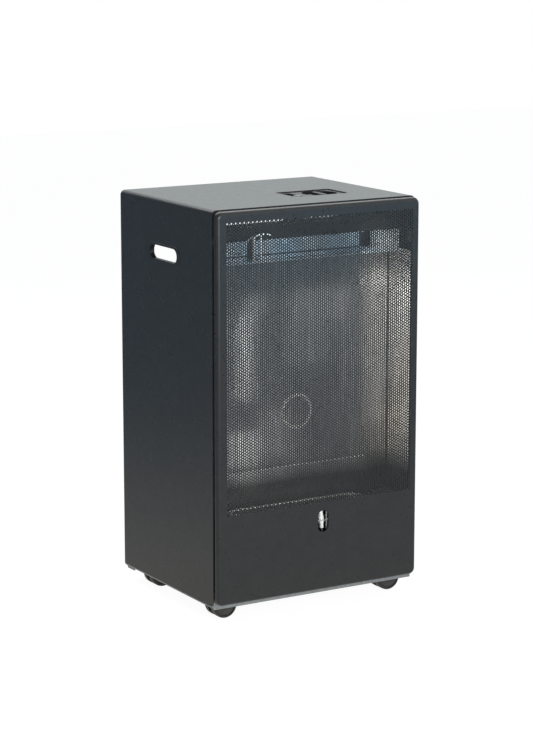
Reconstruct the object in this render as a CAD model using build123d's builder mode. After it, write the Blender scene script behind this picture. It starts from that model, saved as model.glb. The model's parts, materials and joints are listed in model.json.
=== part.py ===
"""Portable gas cabinet heater, blue-flame type, on four swivel castors.

Millimetres, +Z up, the front faces -Y, and the origin is at the middle of
the whole heater's base, on the floor.
"""
from build123d import *
import math
import os

os.makedirs("parts", exist_ok=True)

# ---------------------------------------------------------------- cabinet
cabinet_width = 425.0        # over the side sheets
cabinet_depth = 342.0        # front edge to back edge of the side sheets
cabinet_height = 715.0       # side sheet's bottom edge to the top face
floor_gap = 30.0             # floor to the side sheet's bottom edge
shell_wall = 1.0             # sheet of the wraparound casing
shell_bend = 9.0             # outside radius of the two top bends
shell_return = 10.5          # front and back edges folded inwards
top_return_front = 12.0      # front edge of the top, folded down
top_return_back = 20.0       # back edge of the top, folded down
shell_notch = 10.0           # rounded lower front corner of each side

# ------------------------------------------------------------ front panel
front_reach = 17.8           # panel face in front of the cabinet's front edge
pan_depth = 10.5             # depth of the drawn panel
panel_wall = 1.0
pan_corner = 12.0            # corner radius seen from the front
pan_rounding = 7.0           # rounding where the face turns into the rim
panel_bottom_rise = 4.5      # panel's lower edge above the cabinet's
panel_top_drop = 1.8         # panel's upper edge below the cabinet's top

field_left = 19.0            # punched field, in from the cabinet's sides
field_right = 14.5
field_bottom = 168.5         # from the cabinet's bottom edge
field_top_drop = 20.5        # and from its top face
screen_hole_columns = 12     # holes in the longer rows of the coarse stand-in
screen_hole_rows = 12
screen_hole_share = 0.526    # hole diameter over the distance between columns

sight_centre = 220.5         # pilot sight window, from the left side
sight_middle = 134.3         # its middle above the cabinet's bottom edge
sight_width = 23.0
sight_height = 40.5

spacer_width = 8.0           # blocks that hold the panel off the cabinet
spacer_height = 24.0
spacer_inset = 8.6           # outer face of each block from the side
spacer_end = 70.0            # block's middle from the panel's ends

# ---------------------------------------------------------------- base tray
castor_height = 57.0         # floor to the underside of the tray
tray_wall = 1.2
tray_front_lip = 5.0         # front flange below the cabinet's bottom edge
tray_side_lip = 3.0
ear_back_inset = 9.0         # ears on the side flanges, from the back edge
ear_length = 30.0
ear_drop = 7.0               # ears below the cabinet's bottom edge
ear_round = 3.5
floor_vent_length = 90.0
floor_vent_width = 8.0
floor_vent_pitch = 40.0
floor_vent_count = 3

# --------------------------------------------------------------- rear cover
cover_height = 304.0         # stands on the tray between the rear returns
cover_wall = 1.0
cover_flange = 12.0          # folded edges, pointing into the cabinet
cover_side_play = 0.5
louvre_length = 60.0
louvre_width = 6.0
louvre_pitch = 16.0
louvre_count = 6
louvre_from_edge = 45.0      # first louvre from the cover's lower edge
louvre_spread = 95.0         # middle of each louvre column from the centre
hook_height = 51.0
hook_thick = 2.5
hook_overlap = 8.0           # reach over the cabinet's rear return
hook_foot = 22.0             # part that lies on the cover
hook_play = 0.3
hook_round = 4.0

rear_reach = hook_play + hook_thick

# ---------------------------------------------------------- burner chamber
chamber_wall = 0.8
chamber_depth = 67.0         # cabinet's front edge to the back reflector
side_lead = 6.0              # side reflectors in front of the cabinet's edge
shelf_height = 155.0         # top of the burner shelf above the bottom edge
roof_drop = 100.0            # underside of the chamber roof below the top face
roof_front = 20.0            # roof's front edge, from the cabinet's front edge
roof_lip = 3.0
shield_front = 82.0          # heat shield, from the cabinet's front edge
shield_wall = 1.0
shield_drop = 73.0           # its upper edge below the top face
shield_flange = 14.0
ring_offset = 2.0            # pressed ring, from the centre
ring_height = 324.0
ring_radius = 30.0
ring_bead = 3.0
slope_top = 223.0            # where the lower reflector leaves the back
slope_left = 12.0
slope_right = 58.0
slope_foot_back = 19.5       # lower reflector's foot in front of the back

hood_left = 12.0             # sloping hood behind the top of the field
hood_right = 12.0
hood_drop = 27.5             # its upper and lower edges below the top face
hood_foot_drop = 62.0
hood_run = 25.0
hood_foot = 2.5              # lip under the hood, towards the back
hood_strap = 10.0            # width of its two straps

band_left = 12.0             # pale deflector band above the roof
band_right = 77.5
band_height = 33.0
band_round = 10.0
band_foot_front = 22.0
band_wall = 0.8

# catches that stand on the roof
catch_wall = 1.5
catch_right_inset = 17.0     # right catch, from the cabinet's right side
catch_right_width = 34.5
catch_right_front = 24.0
catch_right_back = 67.0
catch_right_height = 36.0
catch_left_inset = 93.5      # left catch, from the cabinet's left side
catch_left_width = 17.5
catch_left_front = 17.0
catch_left_back = 40.0
catch_left_height = 34.0
catch_left_post = 44.5       # its two front posts
catch_left_slot = 9.5        # between them

# ------------------------------------------------------------------ burner
burner_left = 44.8           # rim's ends, from the cabinet's sides
burner_right = 97.2
burner_width = 44.0
burner_front = 0.0           # rim's front edge from the cabinet's front edge
burner_rim = 6.0             # width of the rim around the trough
burner_rim_height = 6.0
burner_wall = 1.0
burner_depth = 42.0          # trough below the shelf's top
deck_drop = 5.0              # ported deck below the shelf's top
deck_wall = 1.2
port_count = 34
port_width = 2.2
port_length = 20.0
burner_play = 0.5
deck_foot_width = 6.0
deck_foot_thick = 1.2
deck_foot_inset = 2.0

mixer_radius = 12.0
mixer_bore = 10.5
mixer_length = 46.0
mixer_bell = 16.0
mixer_drop = 24.0            # mixer's axis below the shelf's top
injector_gap = 6.0
injector_length = 16.0
injector_radius = 6.0
orifice_bore = 1.2
injector_plate = 2.0
injector_plate_height = 36.0
injector_plate_width = 26.0

# ------------------------------------------------------------- gas controls
knob_from_left = 299.5
knob_from_front = 127.4
bezel_from_left = 282.3
bezel_from_front = 125.6
bezel_width = 120.0
bezel_depth = 76.0
bezel_corner = 9.0
bezel_fit = 0.3
bezel_flange = 3.0           # under the top sheet, around the cut-out
bezel_wall = 2.0
bezel_recess = 2.0           # tray floor below the top face
bezel_rim = 3.0
well_radius = 33.0
well_floor = 14.0            # well floor below the top face
slot_from_left = 239.6       # oblong well of the ignition button
slot_from_front = 124.0
slot_width = 19.0
slot_length = 62.0
slot_floor = 11.0
button_from_front = 108.0

knob_radius = 23.0
knob_height = 4.0            # disc
grip_height = 4.5            # bar on the disc
grip_width = 9.0
grip_inset = 1.0             # bar's ends inside the disc's rim
knob_edge = 1.2
knob_travel = 3.0
knob_gap = 1.0               # left under the knob when pressed
spindle_radius = 4.0
spindle_fit = 0.05
spindle_in_knob = 5.0
push_rod_radius = 3.0
push_rod_length = 10.0
valve_width = 58.0
valve_depth = 38.0
valve_height = 34.0
valve_corner = 5.0
valve_drop = 33.0            # top of the valve below the top face
bracket_wall = 1.2
bracket_hole_play = 2.0      # round the spindle and the inlet
bracket_low = 246.0          # valve bracket, from the left side
bracket_high = 352.0
bracket_plate_front = 168.0
bracket_plate_drop = 61.0
bracket_leg_front = 98.0

button_radius = 7.0
button_height = 6.0
button_edge = 1.5
button_travel = 4.0
button_stem_radius = 4.0
button_stem_fit = 0.05
igniter_radius = 9.0
igniter_length = 36.0

inlet_nut_radius = 9.0
inlet_nut_length = 12.0
inlet_radius = 4.0
inlet_length = 24.0
inlet_barb_radius = 4.6
inlet_ridge_pitch = 8.0

# --------------------------------------------------- pilot and thin pipes
pilot_plate_height = 133.5
pilot_plate_left = 206.5
pilot_plate_right = 241.5
pilot_plate_front = 13.0     # in front of the cabinet's edge
pilot_plate_wall = 1.2
pilot_play = 0.3
electrode_from_left = 223.5
electrode_lead = 6.0         # in front of the cabinet's edge
electrode_radius = 4.4
electrode_length = 32.0
electrode_low = 14.5         # ceramic below the plate
electrode_tilt = 4.0         # degrees, top towards the left
electrode_step_radius = 3.4
electrode_step = 9.0
rod_radius = 1.3
rod_fit = 0.1
rod_over = 8.0
rod_under = 9.0
pilot_tube_from_left = 212.5
pilot_tube_radius = 2.4
pilot_tube_low = 20.0
pilot_head_radius = 3.6
pilot_head_height = 14.0
couple_from_left = 235.0
couple_radius = 2.2
couple_low = 18.0
couple_high = 22.0
couple_tip = 1.7             # rounding of its tip

lead_column = 5.6            # from the side sheet to the pipes beside the chamber
lead_floor = 100.0           # height of the runs under the burner
pilot_pipe_radius = 2.0
couple_lead_radius = 1.2
ignition_lead_radius = 1.6
main_pipe_radius = 3.0
pipe_bend = 9.0
lead_notch = 3.0             # room around a pipe where it passes the shelf
pilot_pipe_back = 34.0       # the three columns, from the front edge
couple_lead_back = 44.0
ignition_lead_back = 54.0
main_pipe_back = 60.0
pilot_pipe_drop = 54.0       # the upper runs below the cabinet's top face
couple_lead_drop = 62.5
ignition_lead_drop = 70.0
main_pipe_drop = 49.0

# ----------------------------------------------------------------- handles
handle_from_front = 175.7
handle_drop = 97.6           # hole's middle below the top face
handle_hole_length = 101.0
handle_hole_height = 26.0
handle_wall = 1.5
handle_lip_length = 118.0
handle_lip_height = 34.0
handle_lip = 1.2
handle_edge = 0.9
handle_depth = 7.0           # tube behind the side sheet
handle_fit = 0.3

# ----------------------------------------------------------------- castors
wheel_radius = 24.0
wheel_width = 14.5
wheel_gap = 9.0              # between the twin wheels
web_play = 0.5
tyre_round = 4.0
hub_dish = 2.0
hub_rim = 4.5                # width of the tyre seen on the wheel's face
axle_radius = 3.0
axle_fit = 0.05
axle_boss = 9.0              # radius of the web round the axle
hood_play = 1.5              # between the tyre and the castor's hood
hood_wall = 1.8
hood_cover_angle = 118.0     # degrees of tyre that the hood covers
castor_trail = 5.0
castor_side_inset = 41.0     # swivel axes from the cabinet's sides
castor_front_inset = 36.7
castor_back_inset = 70.0
castor_plate_radius = 17.0
castor_plate = 2.5
castor_boss_radius = 8.0
castor_gap = 0.3
kingpin_radius = 2.5
kingpin_fit = 0.05
kingpin_reach = 7.0          # pin's tip above the axle's surface
kingpin_tip_gap = 0.5

# ---------------------------------------------------------------- fasteners
screw_head_radius = 3.6
screw_head_height = 2.0
shelf_screw_share = (0.35, 0.8)   # of the way from the middle to the side
bracket_screw_inset = 14.4        # from the bracket's ends

# ------------------------------------------------------------ worked out
half_width = cabinet_width / 2
left = -half_width
cabinet_front = front_reach - (cabinet_depth + front_reach + rear_reach) / 2
cabinet_back = cabinet_front + cabinet_depth
panel_face = cabinet_front - front_reach
bottom = floor_gap
top = floor_gap + cabinet_height
tray_top = castor_height + tray_wall
inner_half = half_width - shell_wall
chamber_half = half_width - shell_return
shelf_top = bottom + shelf_height
roof_under = top - roof_drop
shield_top = top - shield_drop
hood_top = top - hood_drop
hood_bottom = top - hood_foot_drop
back_front = cabinet_front + chamber_depth
shield_face = cabinet_front + shield_front
knob_x = left + knob_from_left
knob_y = cabinet_front + knob_from_front


def facing_front(y):
    """A drawing plane at depth y, seen from the front: X right, Z up."""
    return Plane.XZ.offset(-y)


def facing_side(x):
    """A drawing plane at x, seen from the right: Y right, Z up."""
    return Plane.YZ.offset(x)


def level(z):
    """A horizontal drawing plane at height z."""
    return Plane.XY.offset(z)


def add_box(x_span, y_span, z_span, mode=Mode.ADD):
    """A box between three pairs of limits, in the part being built."""
    middle = [(low + high) / 2 for low, high in (x_span, y_span, z_span)]
    size = [high - low for low, high in (x_span, y_span, z_span)]
    with Locations(tuple(middle)):
        Box(*size, mode=mode)


def sketch_rectangle(low, high, corner=0.0, mode=Mode.ADD):
    """A rectangle between two opposite corners of the drawing plane."""
    with Locations(((low[0] + high[0]) / 2, (low[1] + high[1]) / 2)):
        if corner > 0:
            RectangleRounded(high[0] - low[0], high[1] - low[1], corner, mode=mode)
        else:
            Rectangle(high[0] - low[0], high[1] - low[1], mode=mode)


def sketch_slot(centre, length, width, mode=Mode.ADD, rotation=0):
    """A slot with round ends, its whole length given."""
    with Locations(centre):
        SlotOverall(length, width, rotation=rotation, mode=mode)


# ------------------------------------------------------------------ shell
handle_centre = (cabinet_front + handle_from_front, top - handle_drop)
handle_tube_length = handle_hole_length + 2 * handle_wall
handle_tube_height = handle_hole_height + 2 * handle_wall
bezel_centre = (left + bezel_from_left, cabinet_front + bezel_from_front)

with BuildPart() as cabinet_shell:
    with BuildSketch(facing_front(cabinet_front)) as wrap:
        sketch_rectangle((-half_width, bottom), (half_width, top))
        fillet(wrap.vertices().group_by(Axis.Y)[-1], shell_bend)
    extrude(amount=-cabinet_depth)
    with BuildSketch(facing_front(cabinet_front + shell_wall)) as inside:
        sketch_rectangle((-inner_half, bottom), (inner_half, top - shell_wall))
        fillet(inside.vertices().group_by(Axis.Y)[-1], shell_bend - shell_wall)
    extrude(amount=2 * shell_wall - cabinet_depth, mode=Mode.SUBTRACT)
    with BuildSketch(facing_front(cabinet_front)):
        sketch_rectangle((-chamber_half, bottom), (chamber_half, top - top_return_front))
        sketch_rectangle((-inner_half, bottom), (inner_half, tray_top))
    extrude(amount=-shell_wall, mode=Mode.SUBTRACT)
    with BuildSketch(facing_front(cabinet_back)):
        sketch_rectangle((-chamber_half, bottom), (chamber_half, top - top_return_back))
        sketch_rectangle((-inner_half, bottom), (inner_half, tray_top))
    extrude(amount=shell_wall, mode=Mode.SUBTRACT)
    with BuildSketch(facing_side(-half_width)):
        sketch_slot(handle_centre, handle_tube_length + 2 * handle_fit,
                    handle_tube_height + 2 * handle_fit)
    extrude(amount=cabinet_width, mode=Mode.SUBTRACT)
    with BuildSketch(level(top - shell_wall)):
        with Locations(bezel_centre):
            RectangleRounded(bezel_width + 2 * bezel_fit, bezel_depth + 2 * bezel_fit,
                             bezel_corner + bezel_fit)
    extrude(amount=shell_wall, mode=Mode.SUBTRACT)
    with BuildSketch(facing_side(-half_width)):
        sketch_rectangle((cabinet_front, bottom),
                         (cabinet_front + shell_notch, bottom + shell_notch))
        with Locations((cabinet_front + shell_notch, bottom + shell_notch)):
            Circle(shell_notch, mode=Mode.SUBTRACT)
    extrude(amount=cabinet_width, mode=Mode.SUBTRACT)

# ------------------------------------------------------------ front panel
panel_low = bottom + panel_bottom_rise
panel_high = top - panel_top_drop
panel_back = panel_face + pan_depth
field_low = (left + field_left, bottom + field_bottom)
field_high = (half_width - field_right, top - field_top_drop)
sight = (left + sight_centre, bottom + sight_middle)

with BuildPart() as front_panel:
    with BuildSketch(facing_front(panel_back)):
        sketch_rectangle((-half_width, panel_low), (half_width, panel_high), pan_corner)
    extrude(amount=pan_depth)
    face_edges = front_panel.faces().sort_by(Axis.Y)[0].edges()
    fillet(face_edges, pan_rounding)
    offset(amount=-panel_wall, openings=front_panel.faces().sort_by(Axis.Y)[-1])
    with BuildSketch(facing_front(panel_face + pan_depth)):
        sketch_rectangle(field_low, field_high)
        sketch_slot(sight, sight_height, sight_width, rotation=90)
    extrude(amount=pan_depth, mode=Mode.SUBTRACT)

# The real field has round holes of about 3 mm, about 5 mm apart. This coarser field of
# large holes has about the same open share.
hole_step_x = (field_high[0] - field_low[0]) / screen_hole_columns
hole_step_z = (field_high[1] - field_low[1]) / screen_hole_rows
hole_radius = screen_hole_share * hole_step_x / 2

with BuildPart() as front_screen:
    with BuildSketch(facing_front(panel_face + panel_wall)):
        sketch_rectangle(field_low, field_high)
        field_middle = ((field_low[0] + field_high[0]) / 2, (field_low[1] + field_high[1]) / 2)
        with Locations(field_middle):
            with GridLocations(hole_step_x, hole_step_z, screen_hole_columns, screen_hole_rows):
                Circle(hole_radius, mode=Mode.SUBTRACT)
            with GridLocations(hole_step_x, hole_step_z,
                               screen_hole_columns - 1, screen_hole_rows - 1):
                Circle(hole_radius, mode=Mode.SUBTRACT)
    extrude(amount=panel_wall)

with BuildPart() as panel_spacers:
    for side in (-1, 1):
        outer = side * (half_width - spacer_inset)
        inner = outer - side * spacer_width
        for height in (panel_low + spacer_end, panel_high - spacer_end):
            add_box((min(outer, inner), max(outer, inner)),
                    (panel_face + panel_wall, cabinet_front),
                    (height - spacer_height / 2, height + spacer_height / 2))

# -------------------------------------------------------------- base tray
castor_places = {
    "front_left": (left + castor_side_inset, cabinet_front + castor_front_inset),
    "front_right": (half_width - castor_side_inset, cabinet_front + castor_front_inset),
    "rear_left": (left + castor_side_inset, cabinet_back - castor_back_inset),
    "rear_right": (half_width - castor_side_inset, cabinet_back - castor_back_inset),
}

ear_back = cabinet_back - ear_back_inset
with BuildPart() as base_tray:
    add_box((-inner_half, inner_half), (cabinet_front, cabinet_back), (castor_height, tray_top))
    add_box((-inner_half, inner_half), (cabinet_front, cabinet_front + tray_wall),
            (bottom - tray_front_lip, castor_height))
    add_box((-inner_half, inner_half), (cabinet_back - tray_wall, cabinet_back),
            (bottom - tray_side_lip, castor_height))
    for side in (-1, 1):
        flange = sorted((side * inner_half, side * (inner_half - tray_wall)))
        add_box(flange, (cabinet_front, cabinet_back), (bottom - tray_side_lip, castor_height))
        with BuildSketch(facing_side(flange[0])) as ear:
            sketch_rectangle((ear_back - ear_length, bottom - ear_drop), (ear_back, bottom))
            fillet(ear.vertices().group_by(Axis.Y)[0], ear_round)
        extrude(amount=tray_wall)
    with BuildSketch(level(castor_height)):
        with Locations((0, (cabinet_front + cabinet_back) / 2)):
            with GridLocations(floor_vent_pitch, floor_vent_pitch, 1, floor_vent_count):
                SlotOverall(floor_vent_length, floor_vent_width)
    extrude(amount=tray_wall, mode=Mode.SUBTRACT)

# -------------------------------------------------------------- rear cover
cover_half = chamber_half - cover_side_play
cover_top = tray_top + cover_height

with BuildPart() as rear_cover:
    add_box((-cover_half, cover_half), (cabinet_back - cover_wall, cabinet_back),
            (tray_top, cover_top))
    for side in (-1, 1):
        flange = sorted((side * cover_half, side * (cover_half - cover_wall)))
        add_box(flange, (cabinet_back - cover_flange, cabinet_back), (tray_top, cover_top))
    add_box((-cover_half, cover_half), (cabinet_back - cover_flange, cabinet_back),
            (cover_top - cover_wall, cover_top))
    with BuildSketch(facing_front(cabinet_back)):
        for side in (-1, 1):
            for row in range(louvre_count):
                sketch_slot((side * louvre_spread, tray_top + louvre_from_edge + row * louvre_pitch),
                            louvre_length, louvre_width)
    extrude(amount=cover_wall, mode=Mode.SUBTRACT)

with BuildPart() as cover_hooks:
    for side in (-1, 1):
        seat = sorted((side * cover_half, side * (cover_half - hook_foot)))
        reach = sorted((side * (cover_half + cover_side_play + hook_overlap),
                        side * (cover_half - hook_foot)))
        with BuildSketch(facing_front(cabinet_back + rear_reach)) as hook:
            sketch_rectangle((reach[0], cover_top - hook_height), (reach[1], cover_top))
            outer_corners = hook.vertices().sort_by(lambda point: side * point.X)[-2:]
            fillet(outer_corners, hook_round)
        extrude(amount=hook_thick)
        add_box(seat, (cabinet_back, cabinet_back + hook_play),
                (cover_top - hook_height, cover_top))

# ------------------------------------------------------------- heat shield
with BuildPart() as heat_shield:
    add_box((-inner_half, inner_half), (shield_face, shield_face + shield_wall),
            (tray_top, shield_top))
    for side in (-1, 1):
        flange = sorted((side * inner_half, side * (inner_half - shield_wall)))
        add_box(flange, (shield_face, shield_face + shield_flange),
                (tray_top, shield_top))

# ---------------------------------------------------------------- chamber
lead_x = left + lead_column
main_pipe_x = half_width - lead_column
left_columns = {
    "pilot": (pilot_pipe_back, pilot_pipe_radius),
    "couple": (couple_lead_back, couple_lead_radius),
    "ignition": (ignition_lead_back, ignition_lead_radius),
}
burner_length = cabinet_width - burner_left - burner_right
burner_x = left + burner_left + burner_length / 2
burner_y = cabinet_front + burner_front + burner_width / 2
trough_length = burner_length - 2 * burner_rim
trough_width = burner_width - 2 * burner_rim

with BuildPart() as burner_shelf:
    add_box((-inner_half, inner_half), (cabinet_front + shell_wall, shield_face),
            (shelf_top - chamber_wall, shelf_top))
    with BuildSketch(level(shelf_top - chamber_wall)):
        sketch_slot((burner_x, burner_y), trough_length + 2 * burner_play,
                    trough_width + 2 * burner_play)
        for back, radius in left_columns.values():
            with Locations((lead_x, cabinet_front + back)):
                Circle(radius + lead_notch / 2)
        with Locations((main_pipe_x, cabinet_front + main_pipe_back)):
            Circle(main_pipe_radius + lead_notch / 2)
    extrude(amount=chamber_wall, mode=Mode.SUBTRACT)


def side_reflector(side):
    """One side wall of the chamber; side is -1 at the left."""
    wall = sorted((side * chamber_half, side * (chamber_half - chamber_wall)))
    with BuildPart() as reflector:
        add_box(wall, (cabinet_front - side_lead, back_front + chamber_wall),
                (shelf_top, roof_under))
    return reflector


reflector_left = side_reflector(-1)
reflector_right = side_reflector(1)

reflector_half = chamber_half - chamber_wall
with BuildPart() as reflector_back:
    add_box((-reflector_half, reflector_half), (back_front, back_front + chamber_wall),
            (shelf_top, roof_under))
    with BuildSketch(facing_front(back_front)):
        with Locations((ring_offset, bottom + ring_height)):
            Circle(ring_radius + ring_bead)
            Circle(ring_radius - ring_bead, mode=Mode.SUBTRACT)
    extrude(amount=chamber_wall)

with BuildPart() as chamber_roof:
    add_box((-chamber_half, chamber_half), (cabinet_front + roof_front, shield_face),
            (roof_under, roof_under + chamber_wall))
    add_box((-chamber_half + chamber_wall, chamber_half - chamber_wall),
            (cabinet_front + roof_front, cabinet_front + roof_front + chamber_wall),
            (roof_under - roof_lip, roof_under))

slope_foot_y = back_front - slope_foot_back
with BuildPart() as lower_reflector:
    with BuildSketch(facing_side(left + slope_left)):
        with BuildLine():
            Polyline((back_front, bottom + slope_top),
                     (back_front, bottom + slope_top - chamber_wall * 2),
                     (slope_foot_y + chamber_wall, shelf_top),
                     (slope_foot_y, shelf_top),
                     close=True)
        make_face()
    extrude(amount=cabinet_width - slope_left - slope_right)

hood_y = cabinet_front
with BuildPart() as top_hood:
    with BuildSketch(facing_side(left + hood_left)):
        with BuildLine():
            Polyline((hood_y, hood_top),
                     (hood_y + chamber_wall, hood_top),
                     (hood_y + hood_run + chamber_wall, hood_bottom),
                     (hood_y + hood_run + hood_foot, hood_bottom),
                     (hood_y + hood_run + hood_foot, hood_bottom - chamber_wall),
                     (hood_y + hood_run, hood_bottom - chamber_wall),
                     (hood_y, hood_top - chamber_wall),
                     close=True)
        make_face()
    extrude(amount=cabinet_width - hood_left - hood_right)
    # straps that carry the hood from the top return of the casing
    for x in (left + hood_left, half_width - hood_right - hood_strap):
        add_box((x, x + hood_strap), (cabinet_front + shell_wall, cabinet_front + 2 * shell_wall),
                (hood_top - chamber_wall, top - shell_wall))

roof_top = roof_under + chamber_wall
band_face = back_front - band_wall
with BuildPart() as deflector_band:
    with BuildSketch(facing_front(back_front)) as band:
        sketch_rectangle((left + band_left, roof_top),
                         (half_width - band_right, roof_top + band_height))
        fillet(band.vertices().group_by(Axis.Y)[-1], band_round)
    extrude(amount=band_wall)
    add_box((left + band_left, half_width - band_right),
            (cabinet_front + band_foot_front, band_face), (roof_top, roof_top + band_wall))


def roof_catch(x_span, y_span, floor, height, front_height, slot=0.0):
    """A folded catch: foot, back plate, one cheek and a front plate, which a slot may split."""
    front = (y_span[0], y_span[0] + catch_wall)
    with BuildPart() as catch:
        add_box(x_span, y_span, (floor, floor + catch_wall))
        add_box(x_span, front, (floor, floor + front_height))
        add_box(x_span, (y_span[1] - catch_wall, y_span[1]), (floor, floor + height))
        add_box((x_span[0], x_span[0] + catch_wall), y_span, (floor, floor + height))
        if slot > 0:
            middle = (x_span[0] + x_span[1]) / 2
            add_box((middle - slot / 2, middle + slot / 2), front,
                    (floor + catch_wall, floor + front_height), Mode.SUBTRACT)
    return catch


catch_right_x = half_width - catch_right_inset
catch_left_x = left + catch_left_inset
catch_right = roof_catch((catch_right_x - catch_right_width, catch_right_x),
                         (cabinet_front + catch_right_front, cabinet_front + catch_right_back),
                         roof_top, catch_right_height, catch_right_height)
catch_left = roof_catch((catch_left_x, catch_left_x + catch_left_width),
                        (cabinet_front + catch_left_front, cabinet_front + catch_left_back),
                        roof_top + band_wall, catch_left_height, catch_left_post,
                        catch_left_slot)

# ----------------------------------------------------------------- burner
trough_floor = shelf_top - burner_depth
with BuildPart() as burner_body:
    with BuildSketch(level(shelf_top)):
        sketch_slot((burner_x, burner_y), burner_length, burner_width)
        sketch_slot((burner_x, burner_y), trough_length - 2 * burner_wall,
                    trough_width - 2 * burner_wall, mode=Mode.SUBTRACT)
    extrude(amount=burner_rim_height)
    fillet(burner_body.faces().sort_by(Axis.Z)[-1].outer_wire().edges(), burner_rim_height / 2)
    with BuildSketch(level(trough_floor)):
        sketch_slot((burner_x, burner_y), trough_length, trough_width)
    extrude(amount=burner_depth)
    with BuildSketch(level(trough_floor + burner_wall)):
        sketch_slot((burner_x, burner_y), trough_length - 2 * burner_wall,
                    trough_width - 2 * burner_wall)
    extrude(amount=burner_depth + burner_rim_height, mode=Mode.SUBTRACT)
    # mouth for the mixer tube in the right-hand end
    with BuildSketch(facing_side(burner_x)):
        with Locations((burner_y, shelf_top - mixer_drop)):
            Circle(mixer_bore)
    extrude(amount=burner_length / 2, mode=Mode.SUBTRACT)

deck_top = shelf_top - deck_drop
with BuildPart() as burner_deck:
    with BuildSketch(level(deck_top - deck_wall)):
        sketch_slot((burner_x, burner_y), trough_length - 2 * burner_wall - burner_play,
                    trough_width - 2 * burner_wall - burner_play)
        port_pitch = (trough_length - trough_width) / port_count
        with Locations((burner_x, burner_y)):
            with GridLocations(port_pitch, port_pitch, port_count, 1):
                SlotOverall(port_length, port_width, rotation=90, mode=Mode.SUBTRACT)
    extrude(amount=deck_wall)
    # feet down to the trough's floor
    for x in (-1, 0, 1):
        foot_x = burner_x + x * (trough_length / 2 - trough_width / 2)
        for y in (-1, 1):
            foot_y = burner_y + y * (trough_width / 2 - burner_wall - deck_foot_inset)
            add_box((foot_x - deck_foot_width / 2, foot_x + deck_foot_width / 2),
                    (foot_y - deck_foot_thick / 2, foot_y + deck_foot_thick / 2),
                    (trough_floor + burner_wall, deck_top - deck_wall))

mixer_start = burner_x + trough_length / 2
mixer_z = shelf_top - mixer_drop
with BuildPart() as mixer_tube:
    with BuildSketch(facing_side(mixer_start)):
        with Locations((burner_y, mixer_z)):
            Circle(mixer_radius)
            Circle(mixer_bore, mode=Mode.SUBTRACT)
    extrude(amount=mixer_length - mixer_bell / 2)
    bell_start = mixer_start + mixer_length - mixer_bell / 2
    with BuildSketch(facing_side(bell_start)):
        with Locations((burner_y, mixer_z)):
            Circle(mixer_radius)
    with BuildSketch(facing_side(bell_start + mixer_bell / 2)):
        with Locations((burner_y, mixer_z)):
            Circle(mixer_bell)
    loft()
    with BuildSketch(facing_side(bell_start)):
        with Locations((burner_y, mixer_z)):
            Circle(mixer_bore)
    with BuildSketch(facing_side(bell_start + mixer_bell / 2)):
        with Locations((burner_y, mixer_z)):
            Circle(mixer_bell - (mixer_radius - mixer_bore))
    loft(mode=Mode.SUBTRACT)

injector_x = mixer_start + mixer_length + injector_gap
with BuildPart() as injector:
    with BuildSketch(facing_side(injector_x)):
        with Locations((burner_y, mixer_z)):
            RegularPolygon(injector_radius, 6)
    extrude(amount=injector_length)
    with BuildSketch(facing_side(injector_x)):
        with Locations((burner_y, mixer_z)):
            Circle(orifice_bore)
    extrude(amount=injector_length / 2, mode=Mode.SUBTRACT)

injector_plate_x = injector_x + injector_length
with BuildPart() as injector_bracket:
    add_box((injector_plate_x, injector_plate_x + injector_plate),
            (burner_y - injector_plate_width / 2, burner_y + injector_plate_width / 2),
            (shelf_top - chamber_wall - injector_plate_height, shelf_top - chamber_wall))
    with BuildSketch(facing_side(injector_plate_x)):
        with Locations((burner_y, mixer_z)):
            Circle(main_pipe_radius + pilot_play)
    extrude(amount=injector_plate, mode=Mode.SUBTRACT)

# ----------------------------------------------------------- top controls
well_under = top - well_floor - bezel_wall
slot_x = left + slot_from_left
slot_y = cabinet_front + slot_from_front
button_y = cabinet_front + button_from_front
with BuildPart() as control_bezel:
    with BuildSketch(level(top - shell_wall)):
        with Locations(bezel_centre):
            RectangleRounded(bezel_width, bezel_depth, bezel_corner)
    extrude(amount=shell_wall)
    with BuildSketch(level(top - shell_wall - bezel_wall)):
        with Locations(bezel_centre):
            RectangleRounded(bezel_width + 2 * bezel_flange, bezel_depth + 2 * bezel_flange,
                             bezel_corner)
    extrude(amount=bezel_wall)
    with BuildSketch(level(well_under)):
        with Locations((knob_x, knob_y)):
            Circle(well_radius + bezel_wall)
    extrude(amount=top - shell_wall - well_under)
    with BuildSketch(level(top - slot_floor - bezel_wall)):
        sketch_slot((slot_x, slot_y), slot_length + 2 * bezel_wall,
                    slot_width + 2 * bezel_wall, rotation=90)
    extrude(amount=slot_floor + bezel_wall - shell_wall)
    with BuildSketch(level(top - bezel_recess)):
        with Locations(bezel_centre):
            RectangleRounded(bezel_width - 2 * bezel_rim, bezel_depth - 2 * bezel_rim,
                             bezel_corner - bezel_rim)
    extrude(amount=bezel_recess, mode=Mode.SUBTRACT)
    with BuildSketch(level(top - well_floor)):
        with Locations((knob_x, knob_y)):
            Circle(well_radius)
    extrude(amount=well_floor, mode=Mode.SUBTRACT)
    with BuildSketch(level(top - slot_floor)):
        sketch_slot((slot_x, slot_y), slot_length, slot_width, rotation=90)
    extrude(amount=slot_floor, mode=Mode.SUBTRACT)
    with BuildSketch(level(well_under)):
        with Locations((knob_x, knob_y)):
            Circle(spindle_radius + pilot_play)
        with Locations((slot_x, button_y)):
            Circle(button_stem_radius + button_stem_fit)
    extrude(amount=well_floor + bezel_wall, mode=Mode.SUBTRACT)

knob_under = top - well_floor + knob_gap + knob_travel
valve_top = top - valve_drop
valve_under = valve_top - valve_height
push_rod_top = valve_under + knob_travel + push_rod_length + 2 * bracket_wall
spindle_top = knob_under + spindle_in_knob
inlet_z = valve_under + valve_height / 2
inlet_y = knob_y + valve_depth / 2

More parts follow.
